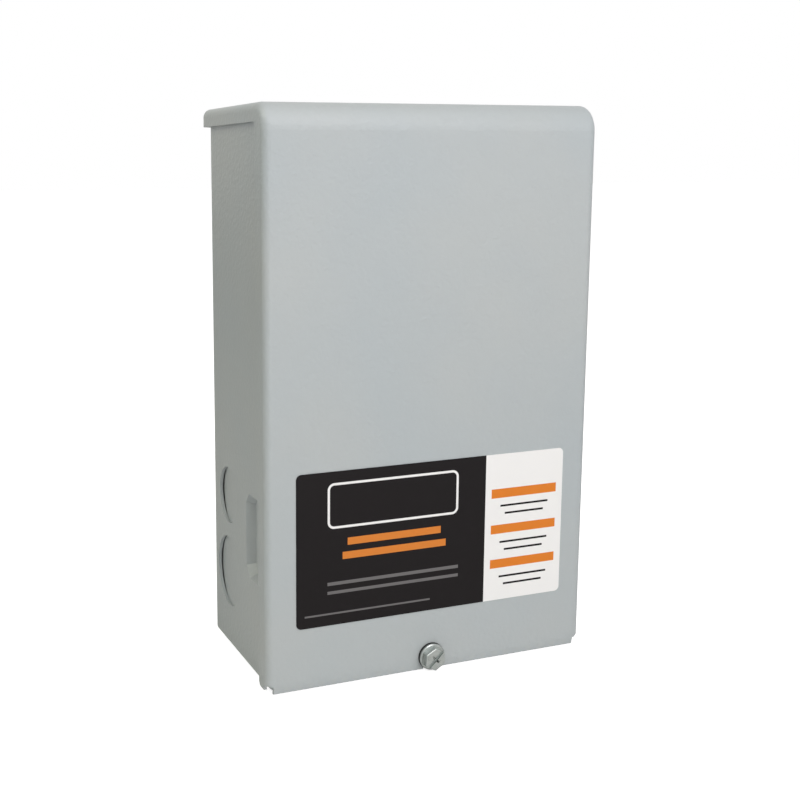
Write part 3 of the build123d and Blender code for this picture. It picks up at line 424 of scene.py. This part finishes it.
# radius and wire in mm; keep is the share of the length left when the joint has gone all the way
springLooks = {
    "return_spring": {"turns": 4.0, "radius": 1.6, "wire": 0.4, "joint": "armature_swing", "keep": 0.42},
    "reset_spring": {"turns": 5.0, "radius": 4.4, "wire": 0.6, "joint": "reset_press", "keep": 0.73},
}
springGrid = {"stepsPerTurn": 40, "aroundWire": 14, "endClosing": 0.6}


def coilSpring(name, look):
    # round a circle of the spring's radius while rising; the rise is u - c sin(2 pi u) / (2 pi), where c
    # is the end closing, so the end turns lie closer, and the wire is a circle square to that path
    low, high = (np.array(corner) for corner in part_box(name))
    middle, wire = (low + high) / 2, look["wire"] / 2000
    u = np.linspace(0, 1, int(look["turns"] * springGrid["stepsPerTurn"]) + 1)
    angle = 2 * math.pi * look["turns"] * u
    rise = u - springGrid["endClosing"] * np.sin(2 * math.pi * u) / (2 * math.pi)
    bottom, top = low[2] + wire, high[2] - wire
    radius = look["radius"] / 1000
    outward = np.stack([np.cos(angle), np.sin(angle), np.zeros_like(angle)], axis=-1)
    path = np.array([middle[0], middle[1], 0]) + radius * outward
    path[:, 2] = bottom + (top - bottom) * rise
    ahead = np.gradient(path, axis=0)
    ahead /= np.linalg.norm(ahead, axis=1, keepdims=True)
    side = np.cross(ahead, outward)
    side /= np.linalg.norm(side, axis=1, keepdims=True)
    around = np.linspace(0, 2 * math.pi, springGrid["aroundWire"], endpoint=False)[None, :, None]
    grid = path[:, None] + wire * (np.cos(around) * outward[:, None] + np.sin(around) * side[:, None])
    piece = meshFromGrid(name + "_wire", grid, closedEnds=True)
    piece.data.materials.append(finishes["spring_steel"])
    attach(piece, "box")
    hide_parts(name)
    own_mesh(piece)


for name, look in springLooks.items():
    coilSpring(name, look)
print("springs made")


# in mm; real wire is finer than this pitch
windingLook = {"outer": 11.2, "inner": 5.4, "wirePitch": 0.9, "groove": 0.22, "stepsPerTurn": 8, "around": 72}


def woundCoil(name, look):
    # round the core: radius = outer - groove (1 - cos(2 pi turns t - angle)) / 2 up the outside, then down
    # the inside at the inner radius, so the grooves climb one pitch each turn
    low, high = (np.array(corner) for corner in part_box(name))
    middle = (low + high) / 2
    tall = high[2] - low[2]
    turns = round(tall * 1000 / look["wirePitch"])
    t = np.linspace(0, 1, turns * look["stepsPerTurn"] + 1)
    around = np.linspace(0, 2 * math.pi, look["around"], endpoint=False)
    wave = (1 - np.cos(2 * math.pi * turns * t[:, None] - around[None, :])) / 2
    outside = (look["outer"] - look["groove"] * wave) / 1000
    inside = np.full((2, around.size), look["inner"] / 1000)
    radius = np.vstack([outside, inside])
    height = np.concatenate([low[2] + tall * t, [high[2], low[2]]])
    grid = np.stack(
        [
            middle[0] + radius * np.cos(around),
            middle[1] + radius * np.sin(around),
            np.broadcast_to(height[:, None], radius.shape),
        ],
        axis=-1,
    )
    piece = meshFromGrid(name + "_turns", grid, closedEnds=False)
    piece.data.materials.append(finishes["copper_wire"])
    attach(piece, "box")
    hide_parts(name)


woundCoil("coil_winding", windingLook)
print("coil wound")


# ---- light: a large soft lamp in front, a warm fill to the left, a soft top, and small ones high and low
lights = {
    "front": {"place": (0.4, -1.25, 0.3), "size": 1.1, "watts": 5.4, "colour": (1.0, 0.99, 1.0)},
    "left": {"place": (-0.75, -0.1, 0.85), "size": 0.6, "watts": 3.2, "colour": (1.0, 0.98, 0.8)},
    "top": {"place": (0.05, -0.35, 1.3), "size": 1.1, "watts": 2.9, "colour": (1.0, 0.99, 0.98)},
    "upper": {"place": (0.02, -0.42, 0.42), "size": 0.35, "watts": 1.0, "colour": (1.0, 0.96, 1.0)},
    "low": {"place": (-0.12, -0.58, -0.07), "size": 0.12, "watts": 0.35, "colour": (0.97, 1.0, 1.0)},
}
lampTarget = Vector((0, -0.03, 0))
for name, setup in lights.items():
    data = bpy.data.lights.new(name, "AREA")
    data.shape = "SQUARE"
    data.size = setup["size"]
    data.energy = setup["watts"]
    data.color = setup["colour"]
    lamp = bpy.data.objects.new(name, data)
    place = Vector(setup["place"])
    lamp.location = place
    lamp.rotation_mode = "QUATERNION"
    lamp.rotation_quaternion = (lampTarget - place).to_track_quat("-Z", "Y")
    scene.collection.objects.link(lamp)

skyLevels = {"lighting": 0.19, "mirroredShare": 0.82}
world = bpy.data.worlds.new("studio")
scene.world = world
world.use_nodes = True
worldTree = world.node_tree
worldTree.nodes.clear()
rays = addNode(worldTree, "ShaderNodeLightPath")
# white where it is seen, dimmer where it is mirrored, dimmer still where it lights
mirrored = maths(worldTree, "MULTIPLY", rays.outputs["Is Glossy Ray"], skyLevels["mirroredShare"])
shown = maths(worldTree, "MAXIMUM", rays.outputs["Is Camera Ray"], mirrored)
shown = maths(worldTree, "MAXIMUM", shown, rays.outputs["Is Transmission Ray"])
levels = {"in:To Min": skyLevels["lighting"], "in:To Max": 1.0}
strength = addNode(worldTree, "ShaderNodeMapRange", levels, {"Value": shown})
white = {"in:Color": (1, 1, 1, 1)}
sky = addNode(worldTree, "ShaderNodeBackground", white, {"Strength": strength.outputs[0]})
addNode(worldTree, "ShaderNodeOutputWorld", links={"Surface": sky.outputs[0]})
print("lights and world set")


# ---- a pale floor just under the box
floorSetup = {"half": 3.0, "below": 0.0005, "colour": "#f4f4f3", "glow": 0.85}
half = floorSetup["half"]
floorZ = loLoaded[2] - floorSetup["below"]
corners = [(-half, -half, floorZ), (half, -half, floorZ), (half, half, floorZ), (-half, half, floorZ)]
floorMesh = bpy.data.meshes.new("floor")
floorMesh.from_pydata(corners, [], [(0, 1, 2, 3)])
floor = bpy.data.objects.new("floor", floorMesh)
scene.collection.objects.link(floor)
flat = {"Roughness": 0.9, "Base Color": linear(floorSetup["colour"])}
material, tree, surface, place = newMaterial("white_studio_floor", flat)
# seen directly the floor glows a little, so it is white where it is lit and pale grey in the shadow
seen = addNode(tree, "ShaderNodeLightPath").outputs["Is Camera Ray"]
glow = maths(tree, "MULTIPLY", seen, floorSetup["glow"])
surface.inputs["Emission Color"].default_value = (1, 1, 1, 1)
tree.links.new(glow, surface.inputs["Emission Strength"])
floorMesh.materials.append(material)
print("floor laid")
